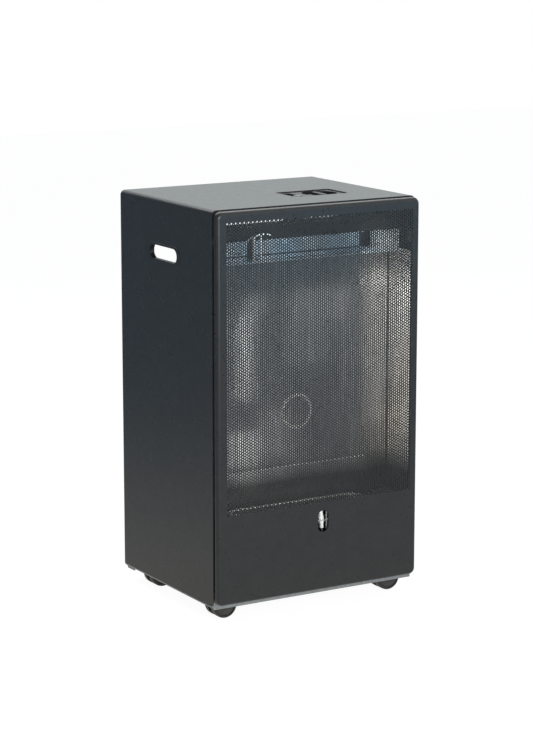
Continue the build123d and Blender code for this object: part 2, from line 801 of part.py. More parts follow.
with BuildPart() as control_knob:
    with BuildSketch(level(knob_under)):
        with Locations((knob_x, knob_y)):
            Circle(knob_radius)
    extrude(amount=knob_height)
    fillet(control_knob.faces().sort_by(Axis.Z)[-1].edges(), knob_edge)
    with BuildSketch(level(knob_under + knob_height)):
        with Locations((knob_x, knob_y)):
            SlotOverall(2 * (knob_radius - grip_inset), grip_width, rotation=90)
    extrude(amount=grip_height)
    fillet(control_knob.faces().sort_by(Axis.Z)[-1].edges(), knob_edge)
    with BuildSketch(level(knob_under)):
        with Locations((knob_x, knob_y)):
            Circle(spindle_radius + spindle_fit / 2)
    extrude(amount=spindle_in_knob, mode=Mode.SUBTRACT)

with BuildPart() as valve_spindle:
    with BuildSketch(level(push_rod_top)):
        with Locations((knob_x, knob_y)):
            Circle(spindle_radius)
    extrude(amount=spindle_top - push_rod_top)

with BuildPart() as valve_push_rod:
    with BuildSketch(level(push_rod_top - push_rod_length)):
        with Locations((knob_x, knob_y)):
            Circle(push_rod_radius)
    extrude(amount=push_rod_length)

spindle_seat = push_rod_top - knob_travel - bracket_wall
with BuildPart() as valve_body:
    with BuildSketch(level(valve_under)):
        with Locations((knob_x, knob_y)):
            RectangleRounded(valve_width, valve_depth, valve_corner)
    extrude(amount=valve_height)
    with BuildSketch(level(spindle_seat)):
        with Locations((knob_x, knob_y)):
            Circle(spindle_radius + spindle_fit)
    extrude(amount=valve_top - spindle_seat, mode=Mode.SUBTRACT)
    with BuildSketch(level(valve_under + bracket_wall)):
        with Locations((knob_x, knob_y)):
            Circle(push_rod_radius + spindle_fit)
    extrude(amount=spindle_seat - valve_under - bracket_wall, mode=Mode.SUBTRACT)

bracket_face = cabinet_front + bracket_plate_front
with BuildPart() as valve_bracket:
    add_box((left + bracket_low, left + bracket_high), (bracket_face, bracket_face + bracket_wall),
            (top - bracket_plate_drop, top - shell_wall))
    add_box((knob_x - valve_width / 2, knob_x + valve_width / 2),
            (cabinet_front + bracket_leg_front, bracket_face),
            (valve_top, valve_top + bracket_wall))
    with BuildSketch(level(valve_top)):
        with Locations((knob_x, knob_y)):
            Circle(spindle_radius + bracket_hole_play)
    extrude(amount=bracket_wall, mode=Mode.SUBTRACT)
    with BuildSketch(facing_front(bracket_face)):
        with Locations((knob_x, inlet_z)):
            Circle(inlet_barb_radius + bracket_hole_play)
    extrude(amount=-bracket_wall, mode=Mode.SUBTRACT)

# ignition button and its generator under the bezel
button_under = top - slot_floor + button_travel
igniter_top = top - slot_floor - bezel_wall
with BuildPart() as piezo_button:
    with BuildSketch(level(button_under)):
        with Locations((slot_x, button_y)):
            Circle(button_radius)
    extrude(amount=button_height)
    fillet(piezo_button.faces().sort_by(Axis.Z)[-1].edges(), button_edge)
    with BuildSketch(level(igniter_top - button_travel)):
        with Locations((slot_x, button_y)):
            Circle(button_stem_radius)
    extrude(amount=button_under - igniter_top + button_travel)

with BuildPart() as piezo_igniter:
    with BuildSketch(level(igniter_top - igniter_length)):
        with Locations((slot_x, button_y)):
            Circle(igniter_radius)
    extrude(amount=igniter_length)
    with BuildSketch(level(igniter_top - 2 * button_travel - button_height)):
        with Locations((slot_x, button_y)):
            Circle(button_stem_radius + button_stem_fit)
    extrude(amount=2 * button_travel + button_height, mode=Mode.SUBTRACT)

# gas inlet at the back of the valve
with BuildPart() as inlet_nut:
    with BuildSketch(facing_front(inlet_y)):
        with Locations((knob_x, inlet_z)):
            RegularPolygon(inlet_nut_radius, 6)
            Circle(inlet_radius + pilot_play, mode=Mode.SUBTRACT)
    extrude(amount=-inlet_nut_length)

with BuildPart() as inlet_nozzle:
    with BuildSketch(facing_front(inlet_y)):
        with Locations((knob_x, inlet_z)):
            Circle(inlet_radius)
    extrude(amount=-(inlet_nut_length + inlet_length))
    for ridge in (1, 2):
        ridge_y = inlet_y + inlet_nut_length + inlet_ridge_pitch * ridge
        with BuildSketch(facing_front(ridge_y)):
            with Locations((knob_x, inlet_z)):
                Circle(inlet_barb_radius)
        with BuildSketch(facing_front(ridge_y + inlet_ridge_pitch / 2)):
            with Locations((knob_x, inlet_z)):
                Circle(inlet_radius)
        loft()
    with BuildSketch(facing_front(inlet_y)):
        with Locations((knob_x, inlet_z)):
            Circle(inlet_radius / 2)
    extrude(amount=-(inlet_nut_length + inlet_length), mode=Mode.SUBTRACT)

# ------------------------------------------------------------------ pilot
plate_z = bottom + pilot_plate_height
electrode_x = left + electrode_from_left
electrode_y = cabinet_front - electrode_lead
tube_x = left + pilot_tube_from_left
couple_x = left + couple_from_left
trough_front = burner_y - trough_width / 2
tilt = math.radians(electrode_tilt)
electrode_up = (-math.sin(tilt), 0, math.cos(tilt))


def along_electrode(distance):
    """The plane square to the electrode, at a distance up from the pilot plate."""
    origin = (electrode_x + electrode_up[0] * distance, electrode_y,
              plate_z + electrode_up[2] * distance)
    return Plane(origin=origin, x_dir=(math.cos(tilt), 0, math.sin(tilt)), z_dir=electrode_up)


with BuildPart() as pilot_plate:
    add_box((left + pilot_plate_left, left + pilot_plate_right),
            (cabinet_front - pilot_plate_front, trough_front),
            (plate_z, plate_z + pilot_plate_wall))
    with BuildSketch(along_electrode(-2 * pilot_plate_wall)):
        Circle(electrode_radius + pilot_play)
    extrude(amount=5 * pilot_plate_wall, mode=Mode.SUBTRACT)
    with BuildSketch(level(plate_z)):
        with Locations((tube_x, electrode_y)):
            Circle(pilot_tube_radius + pilot_play)
        with Locations((couple_x, electrode_y)):
            Circle(couple_radius + pilot_play)
    extrude(amount=pilot_plate_wall, mode=Mode.SUBTRACT)

with BuildPart() as electrode:
    with BuildSketch(along_electrode(-electrode_low)):
        Circle(electrode_step_radius)
    extrude(amount=electrode_length)
    with BuildSketch(along_electrode(electrode_step - electrode_low)):
        Circle(electrode_radius)
    extrude(amount=electrode_length - 2 * electrode_step)
    with BuildSketch(along_electrode(-electrode_low)):
        Circle(rod_radius + rod_fit)
    extrude(amount=electrode_length, mode=Mode.SUBTRACT)

with BuildPart() as electrode_rod:
    with BuildSketch(along_electrode(-electrode_low - rod_under)):
        Circle(rod_radius)
    extrude(amount=electrode_length + rod_under + rod_over)

with BuildPart() as pilot_burner:
    with BuildSketch(level(plate_z - pilot_tube_low)):
        with Locations((tube_x, electrode_y)):
            Circle(pilot_tube_radius)
    extrude(amount=pilot_tube_low + pilot_plate_wall)
    with BuildSketch(level(plate_z + pilot_plate_wall)):
        with Locations((tube_x, electrode_y)):
            Circle(pilot_head_radius)
    extrude(amount=pilot_head_height)

with BuildPart() as thermocouple:
    with BuildSketch(level(plate_z - couple_low)):
        with Locations((couple_x, electrode_y)):
            Circle(couple_radius)
    extrude(amount=couple_low + couple_high)
    fillet(thermocouple.faces().sort_by(Axis.Z)[-1].edges(), couple_tip)


# -------------------------------------------------- pipes along their runs
def pipe(points, radius, bend):
    """A round pipe along straight runs joined by equal bends."""
    with BuildPart() as run:
        with BuildLine() as route:
            FilletPolyline(*points, radius=bend)
        start = Vector(*points[0])
        heading = Vector(*points[1]) - start
        with BuildSketch(Plane(origin=start, z_dir=heading)):
            Circle(radius)
        sweep(path=route.line)
    return run


lead_z = bottom + lead_floor
valve_left = knob_x - valve_width / 2
valve_right = knob_x + valve_width / 2
couple_end = plate_z - couple_low
tube_end = plate_z - pilot_tube_low
rod_end = along_electrode(-electrode_low - rod_under).origin

pilot_pipe = pipe([(valve_left, knob_y, top - pilot_pipe_drop),
                   (lead_x, knob_y, top - pilot_pipe_drop),
                   (lead_x, cabinet_front + pilot_pipe_back, top - pilot_pipe_drop),
                   (lead_x, cabinet_front + pilot_pipe_back, lead_z),
                   (tube_x, cabinet_front + pilot_pipe_back, lead_z),
                   (tube_x, electrode_y, lead_z),
                   (tube_x, electrode_y, tube_end)], pilot_pipe_radius, pipe_bend)

couple_z = lead_z - pipe_bend
thermocouple_lead = pipe([(valve_left, knob_y - valve_depth / 4, top - couple_lead_drop),
                          (lead_x, knob_y - valve_depth / 4, top - couple_lead_drop),
                          (lead_x, cabinet_front + couple_lead_back, top - couple_lead_drop),
                          (lead_x, cabinet_front + couple_lead_back, couple_z),
                          (couple_x, cabinet_front + couple_lead_back, couple_z),
                          (couple_x, electrode_y, couple_z),
                          (couple_x, electrode_y, couple_end)], couple_lead_radius, pipe_bend)

ignition_z = couple_z - pipe_bend
igniter_end = igniter_top - igniter_length
ignition_lead = pipe([(slot_x, button_y, igniter_end),
                      (slot_x, button_y, top - ignition_lead_drop),
                      (lead_x, button_y, top - ignition_lead_drop),
                      (lead_x, cabinet_front + ignition_lead_back, top - ignition_lead_drop),
                      (lead_x, cabinet_front + ignition_lead_back, ignition_z),
                      (rod_end.X, cabinet_front + ignition_lead_back, ignition_z),
                      (rod_end.X, electrode_y, ignition_z),
                      (rod_end.X, electrode_y, rod_end.Z - rod_fit)],
                     ignition_lead_radius, pipe_bend)

main_pipe = pipe([(valve_right, knob_y, top - main_pipe_drop),
                  (main_pipe_x, knob_y, top - main_pipe_drop),
                  (main_pipe_x, cabinet_front + main_pipe_back, top - main_pipe_drop),
                  (main_pipe_x, cabinet_front + main_pipe_back, mixer_z),
                  (main_pipe_x, burner_y, mixer_z),
                  (injector_plate_x, burner_y, mixer_z)], main_pipe_radius, pipe_bend)


# ---------------------------------------------------------------- handles
def handle_insert(side):
    """Moulded lining of one handle hole: a lip outside and a tube inside."""
    face = side * half_width
    with BuildPart() as insert:
        with BuildSketch(facing_side(face)):
            sketch_slot(handle_centre, handle_lip_length, handle_lip_height)
        extrude(amount=side * handle_lip)
        fillet(insert.faces().sort_by(lambda f: side * f.center().X)[-1].edges(), handle_edge)
        with BuildSketch(facing_side(face)):
            sketch_slot(handle_centre, handle_tube_length, handle_tube_height)
        extrude(amount=-side * (shell_wall + handle_depth))
        with BuildSketch(facing_side(face + side * handle_lip)):
            sketch_slot(handle_centre, handle_hole_length, handle_hole_height)
        extrude(amount=-side * (handle_lip + shell_wall + handle_depth), mode=Mode.SUBTRACT)
    return insert


handle_left = handle_insert(-1)
handle_right = handle_insert(1)

# ---------------------------------------------------------------- castors
plate_under = castor_height - castor_plate
housing_top = plate_under - castor_gap
hood_inner = wheel_radius + hood_play
hood_outer = hood_inner + hood_wall
web_half = wheel_gap / 2 - web_play
castor_half_width = wheel_gap / 2 + wheel_width
boss_under = wheel_radius + hood_inner
kingpin_bore = wheel_radius + axle_radius + kingpin_reach - kingpin_tip_gap
kingpin_tip = kingpin_bore + kingpin_tip_gap

with BuildPart() as castor_mounts:
    for place in castor_places.values():
        with BuildSketch(level(plate_under)):
            with Locations(place):
                Circle(castor_plate_radius)
        extrude(amount=castor_plate)
        with BuildSketch(level(kingpin_tip)):
            with Locations(place):
                Circle(kingpin_radius)
        extrude(amount=plate_under - kingpin_tip)


def axle_position(place):
    """X of one castor's axle: each castor trails outwards in its rest pose."""
    return place[0] + math.copysign(castor_trail, place[0])


def castor_housing(place):
    """Hood, web and swivel boss of one castor."""
    axle_x = axle_position(place)
    hood_edge = math.radians((180 - hood_cover_angle) / 2)
    with BuildPart() as housing:
        with BuildSketch(facing_front(place[1] - castor_half_width)):
            with Locations((axle_x, wheel_radius)):
                Circle(hood_outer)
                Circle(hood_inner, mode=Mode.SUBTRACT)
            low = wheel_radius + hood_inner * math.sin(hood_edge)
            with Locations((axle_x, low - hood_outer)):
                Rectangle(4 * hood_outer, 2 * hood_outer, mode=Mode.SUBTRACT)
        extrude(amount=-2 * castor_half_width)
        with BuildSketch(facing_front(place[1] - web_half)):
            with Locations((axle_x, wheel_radius)):
                Circle(hood_outer)
            with Locations((axle_x, wheel_radius - hood_outer)):
                Rectangle(4 * hood_outer, 2 * hood_outer, mode=Mode.SUBTRACT)
            with Locations((axle_x, wheel_radius)):
                Circle(axle_boss)
        extrude(amount=-2 * web_half)
        with BuildSketch(level(boss_under)):
            with Locations(place):
                Circle(castor_boss_radius)
        extrude(amount=housing_top - boss_under)
        with BuildSketch(level(kingpin_bore)):
            with Locations(place):
                Circle(kingpin_radius + kingpin_fit)
        extrude(amount=housing_top - kingpin_bore, mode=Mode.SUBTRACT)
        with BuildSketch(facing_front(place[1] - castor_half_width)):
            with Locations((axle_x, wheel_radius)):
                Circle(axle_radius)
        extrude(amount=-2 * castor_half_width, mode=Mode.SUBTRACT)
    return housing


def castor_axle(place):
    """Axle of one castor, fixed in the web."""
    with BuildPart() as axle:
        with BuildSketch(facing_front(place[1] - castor_half_width + hub_dish)):
            with Locations((axle_position(place), wheel_radius)):
                Circle(axle_radius)
        extrude(amount=-2 * (castor_half_width - hub_dish))
    return axle


def castor_wheels(place):
    """The twin wheels of one castor, with a dished outer face."""
    with BuildPart() as wheels:
        for side in (-1, 1):
            inner_face = place[1] + side * wheel_gap / 2
            outer_face = inner_face + side * wheel_width
            with BuildSketch(facing_front(inner_face)):
                with Locations((axle_position(place), wheel_radius)):
                    Circle(wheel_radius)
            extrude(amount=-side * wheel_width)
            rim = wheels.edges().filter_by(GeomType.CIRCLE).filter_by(
                lambda edge: abs(edge.center().Y - outer_face) < hub_dish / 2)
            fillet(rim, tyre_round)
            with BuildSketch(facing_front(outer_face)):
                with Locations((axle_position(place), wheel_radius)):
                    Circle(wheel_radius - hub_rim)
            extrude(amount=side * hub_dish, mode=Mode.SUBTRACT)
            with BuildSketch(facing_front(inner_face)):
                with Locations((axle_position(place), wheel_radius)):
                    Circle(axle_radius + axle_fit)
            extrude(amount=-side * wheel_width, mode=Mode.SUBTRACT)
    return wheels


# --------------------------------------------------------------- fasteners
with BuildPart() as shelf_screws:
    for side in (-1, 1):
        for share in shelf_screw_share:
            with BuildSketch(facing_front(shield_face + shield_wall)):
                with Locations((side * inner_half * share, shelf_top - 2 * screw_head_radius)):
                    Circle(screw_head_radius)
            extrude(amount=-screw_head_height)

with BuildPart() as bracket_screws:
    for x in (left + bracket_low + bracket_screw_inset, left + bracket_high - bracket_screw_inset):
        with BuildSketch(facing_front(bracket_face + bracket_wall)):
            with Locations((x, top - bracket_plate_drop / 2)):
                Circle(screw_head_radius)
        extrude(amount=-screw_head_height)

# ------------------------------------------------------------------ export
pieces = {
    "cabinet_shell": cabinet_shell,
    "front_panel": front_panel,
    "front_screen": front_screen,
    "panel_spacers": panel_spacers,
    "base_tray": base_tray,
    "rear_cover": rear_cover,
    "cover_hooks": cover_hooks,
    "heat_shield": heat_shield,
    "burner_shelf": burner_shelf,
    "reflector_left": reflector_left,
    "reflector_right": reflector_right,
    "reflector_back": reflector_back,
    "chamber_roof": chamber_roof,
    "lower_reflector": lower_reflector,
    "top_hood": top_hood,
    "deflector_band": deflector_band,
    "catch_left": catch_left,
    "catch_right": catch_right,
    "burner_body": burner_body,
    "burner_deck": burner_deck,
    "mixer_tube": mixer_tube,
    "injector": injector,
    "injector_bracket": injector_bracket,
    "control_bezel": control_bezel,
    "control_knob": control_knob,
    "valve_spindle": valve_spindle,
    "valve_push_rod": valve_push_rod,
    "valve_body": valve_body,
    "valve_bracket": valve_bracket,
    "piezo_button": piezo_button,
    "piezo_igniter": piezo_igniter,
    "inlet_nut": inlet_nut,
    "inlet_nozzle": inlet_nozzle,
    "pilot_plate": pilot_plate,
    "electrode": electrode,
    "electrode_rod": electrode_rod,
    "pilot_burner": pilot_burner,
    "thermocouple": thermocouple,
    "pilot_pipe": pilot_pipe,
    "thermocouple_lead": thermocouple_lead,
    "ignition_lead": ignition_lead,
    "main_gas_pipe": main_pipe,
    "handle_left": handle_left,
    "handle_right": handle_right,
    "castor_mounts": castor_mounts,
    "shelf_screws": shelf_screws,
    "bracket_screws": bracket_screws,
}
for where, place in castor_places.items():
    pieces[f"castor_housing_{where}"] = castor_housing(place)
    pieces[f"castor_axle_{where}"] = castor_axle(place)
    pieces[f"castor_wheels_{where}"] = castor_wheels(place)

for name, piece in pieces.items():
    piece.part.label = name
    export_step(piece.part, f"parts/{name}.step")
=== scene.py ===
"""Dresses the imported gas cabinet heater: finishes, punched sheet, small parts of the burner
chamber, castor discs, louvres, studio, light and camera. The object's lengths are in
millimetres, and those of the studio are in metres."""
import json
import math

import bpy
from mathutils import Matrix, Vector


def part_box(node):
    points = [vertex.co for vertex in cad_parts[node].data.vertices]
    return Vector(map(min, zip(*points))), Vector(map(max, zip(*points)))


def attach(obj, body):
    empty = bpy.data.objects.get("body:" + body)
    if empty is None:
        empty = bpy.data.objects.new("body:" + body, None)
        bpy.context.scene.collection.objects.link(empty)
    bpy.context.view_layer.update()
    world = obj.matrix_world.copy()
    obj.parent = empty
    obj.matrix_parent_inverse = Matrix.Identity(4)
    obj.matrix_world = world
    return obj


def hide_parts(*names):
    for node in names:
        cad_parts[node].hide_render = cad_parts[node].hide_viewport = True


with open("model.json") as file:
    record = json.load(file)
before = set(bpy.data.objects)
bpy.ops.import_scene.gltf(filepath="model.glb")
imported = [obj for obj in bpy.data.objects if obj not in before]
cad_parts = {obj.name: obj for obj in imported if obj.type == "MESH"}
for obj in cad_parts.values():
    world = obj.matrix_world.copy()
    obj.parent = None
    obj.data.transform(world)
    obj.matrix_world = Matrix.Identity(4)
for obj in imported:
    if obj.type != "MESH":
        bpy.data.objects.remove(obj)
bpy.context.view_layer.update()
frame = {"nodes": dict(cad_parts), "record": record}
nodes = frame["nodes"]
scene = bpy.context.scene
MM = 0.001


def limits(name):
    """Limits of a CAD node in millimetres: (x low, high), (y low, high), (z low, high)."""
    low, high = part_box(name)
    return [(a / MM, b / MM) for a, b in zip(low, high)]


# ----------------------------------------------------- sizes, millimetres
HOLE_COLUMNS = 91            # punched sheet
HOLE_ROWS = 104
HOLE_RADIUS = 1.6
HOLE_SIDES = 10
# each of a hole's points is joined to one of the six corners of the cell that it stands in
CELL_CORNERS = (0, 1, 1, 2, 2, 3, 4, 4, 5, 5)
SHEET_PIECES = 4

RING_RADIUS = 30.0           # pressed ring of the chamber's back
RING_HEIGHT = 354.0
RING_X = 2.0
RING_BEAD = 3.0              # radius of its bead
RING_STEPS = 72
BEAD_SIDES = 12              # of this bead, the wires and the rolled edge

ARM_CENTRE = 108.0           # arched arm at the left catch, from the cabinet's left side
ARM_LIFT = 6.0               # its centre over the catch's foot
ARM_BACK = 0.8               # its foot behind the catch's front
ARM_LEAN = 0.19              # how far it leans to the front, per height over the catch's foot
ARM_RADIUS = 43.0
ARM_WIDTH = 5.0
ARM_THICK = 1.6
ARM_TURN = (66.0, 188.0)     # degrees, from the right-hand side over the top
ARM_STEPS = 32

WIRE_RADIUS = 0.7            # spring wires in the two catches
WIRE_FOOT = 1.0              # their foot over the catch's
# for each wire: its catch, its place from the catch's left, front and top, and the rise and
# the reach of the part that leans out to the front
WIRES = (("left", 11.5, 20.6, 13.0, 24.0, 26.0),
         ("right", 7.5, 16.2, 7.0, 25.0, 28.0))
# bends of that part: way to the left, shares of the reach and of the rise, end of the hook
WIRE_BENDS = ((10.0, 0.40, 0.45, 0.0),
              (21.0, 0.75, 0.85, 0.0),
              (27.0, 0.75, 0.85, 4.0))

RIM_BEAD = 2.8               # radius of the rolled edge on the burner's rim
RIM_INSET = 0.8              # how far it stays inside the rim
RIM_SINK = 0.4               # its middle under the rim's top
RIM_STEPS = 16               # for each round end
FOLD_BEAD = 1.3              # radius of the fold at the top of the lower reflector
FOLD_SIDES = 10
FOLD_END = 1.0               # its ends from the reflector's
FOLD_BACK = 0.5              # its middle from the reflector's back
FOLD_SINK = 0.3              # and under its top

HUB_RADIUS = 19.0            # discs on the castor wheels
HUB_STEPS = 48
# radius, and height over the wheel's face, from the disc's edge to the end of its boss
HUB_PROFILE = ((HUB_RADIUS, -2.2), (HUB_RADIUS, -1.3), (HUB_RADIUS - 0.6, -0.9),
               (12.0, -1.1), (9.0, -1.7), (6.6, -1.7), (6.2, 0.0), (5.4, 0.5), (2.5, 0.7))

LOUVRE_ROWS = 6              # pressed louvres of the rear cover, in two columns
LOUVRE_PITCH = 16.0
LOUVRE_FIRST = 45.0          # the lowest row over the cover's foot
LOUVRE_SIDE = 95.0           # the columns from the cover's middle
LOUVRE_HALF = 30.6           # half a louvre's length
LOUVRE_RISE = 3.5            # how far it stands out
LOUVRE_SWELL = 2.2           # how quickly it rises from its ends
LOUVRE_TOP = 4.2             # its top over the row's height
LOUVRE_SHOULDER = 2.0        # its shoulder over that height
LOUVRE_SHOULDER_RISE = 0.75  # and the share of the rise there
LOUVRE_LIP = 3.0             # its lip under that height
LOUVRE_SHEET = 0.8           # thickness of the lip
LOUVRE_STEPS = 16

# ---------------------------------- finishes, millimetres or per metre
STREAKS = (330.0, 330.0, 7.0)     # streaks of the reflectors, per metre in X, Y and Z
FOOT_SHADE = (226.0, 262.0)        # heights between which the painted shade at their foot fades out
CORNER_SHADE = (197.6, 200.2)      # distances from the middle between which they darken with painted shade in the corners
CREASE_SHADE_START = (0.9, 1.1)           # painted shade line of the band, in the crease at its foot: where it starts over the band's foot
CREASE_SHADE_END = (3.0, 4.5)             # and where it fades out
CATCH_SHADE_START = (0.6, 1.4)           # where painted shade starts behind the front of the left catch
SPANGLE = 220.0                   # zinc crystals, per metre
DULL_METALLIC = 0.35              # bright sheet that has gone dull


# --------------------------------------------------------------- materials
MATERIALS = {}


def new_material(name):
    """Adds a material, and gives its nodes, its shader and the place on the object."""
    mat = bpy.data.materials.new(name)
    mat.use_nodes = True
    MATERIALS[name] = mat
    tree = mat.node_tree
    where = tree.nodes.new("ShaderNodeTexCoord").outputs["Object"]
    return tree, tree.nodes["Principled BSDF"], where


def noise(tree, where, scale, detail=2.0, roughness=0.5):
    node = tree.nodes.new("ShaderNodeTexNoise")
    node.inputs["Scale"].default_value = scale
    node.inputs["Detail"].default_value = detail
    node.inputs["Roughness"].default_value = roughness
    tree.links.new(where, node.inputs["Vector"])
    return node.outputs["Fac"]


def between(tree, value, low, high, from_low=0.3, from_high=0.7):
    """Runs from low to high while the value runs from from_low to from_high, which are the
    usual ends of a noise where they aren't given."""
    node = tree.nodes.new("ShaderNodeMapRange")
    node.inputs["From Min"].default_value = from_low
    node.inputs["From Max"].default_value = from_high
    node.inputs["To Min"].default_value = low
    node.inputs["To Max"].default_value = high
    tree.links.new(value, node.inputs["Value"])
    return node.outputs["Result"]


def mixed(tree, factor, first, second):
    """A blend of two colours, each of them numbers or another node's output."""
    node = tree.nodes.new("ShaderNodeMix")
    node.data_type = "RGBA"
    for socket, colour in (("A", first), ("B", second)):
        if isinstance(colour, tuple):
            node.inputs[socket].default_value = (*colour, 1.0)
        else:
            tree.links.new(colour, node.inputs[socket])
    tree.links.new(factor, node.inputs["Factor"])
    return node.outputs["Result"]


def maths(tree, operation, *values):
    node = tree.nodes.new("ShaderNodeMath")
    node.operation = operation
    for number, value in enumerate(values):
        tree.links.new(value, node.inputs[number])
    return node.outputs["Value"]


def coordinate(tree, where, axis):
    parts = tree.nodes.new("ShaderNodeSeparateXYZ")
    tree.links.new(where, parts.inputs["Vector"])
    return parts.outputs[axis]


def height_share(tree, where, heights, at_low, at_high):
    """A number that runs from at_low to at_high between two heights in millimetres."""
    low, high = heights
    return between(tree, coordinate(tree, where, "Z"), at_low, at_high, low * MM, high * MM)


def off_centre(tree, where, inner, outer):
    """A number that falls from 1 to 0 between two distances from the middle plane."""
    side = maths(tree, "ABSOLUTE", coordinate(tree, where, "X"))
    return between(tree, side, 1.0, 0.0, inner * MM, outer * MM)


def bump(tree, shader, height, strength, distance):
    """Unevenness of the surface, its distance in metres."""
    node = tree.nodes.new("ShaderNodeBump")
    node.inputs["Strength"].default_value = strength
    node.inputs["Distance"].default_value = distance
    tree.links.new(height, node.inputs["Height"])
    tree.links.new(node.outputs["Normal"], shader.inputs["Normal"])


def finish_material(name, first, second, rough, metallic=0.0, patch=40.0, grain=900.0,
                    grain_height=0.00002, specular=0.5):
    """A finish of two close colours in soft patches, with fine grain and uneven gloss."""
    tree, shader, where = new_material(name)
    shader.inputs["Metallic"].default_value = metallic
    shader.inputs["Specular IOR Level"].default_value = specular
    patches = between(tree, noise(tree, where, patch, detail=3.0), 0.0, 1.0)
    tree.links.new(mixed(tree, patches, first, second), shader.inputs["Base Color"])
    tree.links.new(between(tree, noise(tree, where, patch * 2.3), *rough),
                   shader.inputs["Roughness"])
    bump(tree, shader, noise(tree, where, grain, detail=3.0), 1.0, grain_height)


def zinc_material(name, first, second, rough):
    """Zinc-coated sheet: large flat crystals that differ a little in shade and gloss."""
    tree, shader, where = new_material(name)
    shader.inputs["Metallic"].default_value = 1.0
    cells = tree.nodes.new("ShaderNodeTexVoronoi")
    cells.inputs["Scale"].default_value = SPANGLE
    tree.links.new(where, cells.inputs["Vector"])
    parts = tree.nodes.new("ShaderNodeSeparateColor")
    tree.links.new(cells.outputs["Color"], parts.inputs["Color"])
    tree.links.new(mixed(tree, parts.outputs["Red"], first, second), shader.inputs["Base Color"])
    tree.links.new(between(tree, parts.outputs["Green"], *rough, 0.0, 1.0),
                   shader.inputs["Roughness"])
    bump(tree, shader, noise(tree, where, scale=60.0), strength=0.4, distance=0.0002)


def reflector_material(name, dark, bright, rough, metallic, corners=False):
    """Bright rolled sheet with fine upright streaks, with painted shade at its foot, and in
    its corners too where corners is true."""
    tree, shader, where = new_material(name)
    shader.inputs["Metallic"].default_value = metallic
    stretch = tree.nodes.new("ShaderNodeMapping")
    stretch.inputs["Scale"].default_value = STREAKS
    tree.links.new(where, stretch.inputs["Vector"])
    streaks = noise(tree, stretch.outputs["Vector"], scale=1.0, detail=3.0, roughness=0.6)
    # painted shade: the sheet darkens towards its foot, and near the side walls where corners is true
    unshaded = height_share(tree, where, FOOT_SHADE, 0.0, 1.0)
    if corners:
        unshaded = maths(tree, "MULTIPLY", unshaded, off_centre(tree, where, *CORNER_SHADE))
    share = maths(tree, "MULTIPLY", between(tree, streaks, 0.35, 1.0), unshaded)
    tree.links.new(mixed(tree, share, dark, bright), shader.inputs["Base Color"])
    tree.links.new(between(tree, streaks, rough[1], rough[0]), shader.inputs["Roughness"])
    bump(tree, shader, streaks, strength=0.7, distance=0.0005)


def band_material(name, dark, bright, rough):
    """Pale sheet with a line of painted shade just over the foot of the band, in the crease there."""
    tree, shader, where = new_material(name)
    shader.inputs["Metallic"].default_value = DULL_METALLIC
    foot = limits("deflector_band")[2][0]
    patches = between(tree, noise(tree, where, scale=90.0, detail=3.0), 0.75, 1.0)
    # painted shade in the crease just over the band's foot
    under = height_share(tree, where, [foot + height for height in CREASE_SHADE_START], 1.0, 0.0)
    over = height_share(tree, where, [foot + height for height in CREASE_SHADE_END], 0.0, 1.0)
    share = maths(tree, "MULTIPLY", patches, maths(tree, "MAXIMUM", over, under))
    tree.links.new(mixed(tree, share, dark, bright), shader.inputs["Base Color"])
    tree.links.new(between(tree, patches, *rough, 0.75, 1.0), shader.inputs["Roughness"])
    bump(tree, shader, noise(tree, where, scale=500.0), strength=0.3, distance=0.00005)


def catch_material(name, dark, bright, rough):
    """Bright front plate; the folded sheet behind it is darkened with painted shade."""
    tree, shader, where = new_material(name)
    shader.inputs["Metallic"].default_value = DULL_METALLIC
    front = limits("catch_left")[1][0]
    start, end = ((front + distance) * MM for distance in CATCH_SHADE_START)
    # painted shade: the sheet darkens behind the catch's front plate
    unshaded = between(tree, coordinate(tree, where, "Y"), 1.0, 0.0, start, end)
    patches = between(tree, noise(tree, where, scale=120.0, detail=3.0), 0.75, 1.0)
    share = maths(tree, "MULTIPLY", patches, unshaded)
    tree.links.new(mixed(tree, share, dark, bright), shader.inputs["Base Color"])
    tree.links.new(between(tree, share, rough[1], rough[0], 0.0, 1.0), shader.inputs["Roughness"])
    bump(tree, shader, noise(tree, where, scale=500.0), strength=0.3, distance=0.00005)


# finishes of the CAD's material slots
finish_material("charcoal_coat", (0.0235, 0.0240, 0.0240), (0.0270, 0.0275, 0.0275), (0.27, 0.30),
                grain=1400.0, grain_height=0.000004, specular=0.30)
zinc_material("galvanised_steel", (0.50, 0.52, 0.54), (0.62, 0.64, 0.66), (0.30, 0.46))
finish_material("stainless_steel", (0.52, 0.52, 0.51), (0.62, 0.62, 0.61), (0.22, 0.34),
                metallic=1.0, patch=90.0)
finish_material("black_plastic", (0.012, 0.012, 0.013), (0.017, 0.017, 0.018), (0.38, 0.50),
                grain=1800.0, grain_height=0.00004)
finish_material("glossy_black_plastic", (0.008, 0.008, 0.009), (0.012, 0.012, 0.013),
                (0.08, 0.14), grain_height=0.000002)
finish_material("wheel_plastic", (0.014, 0.013, 0.012), (0.020, 0.018, 0.016), (0.42, 0.55),
                grain=1500.0, grain_height=0.00005)
finish_material("cast_alloy", (0.46, 0.46, 0.45), (0.56, 0.56, 0.55), (0.38, 0.50),
                metallic=1.0, grain=1100.0, grain_height=0.00005)
finish_material("brass", (0.52, 0.36, 0.14), (0.62, 0.45, 0.19), (0.22, 0.36), metallic=1.0)
finish_material("white_ceramic", (0.78, 0.77, 0.73), (0.84, 0.83, 0.80), (0.18, 0.30),
                grain_height=0.00001)
finish_material("lead_rubber", (0.016, 0.015, 0.015), (0.024, 0.023, 0.022), (0.45, 0.60))
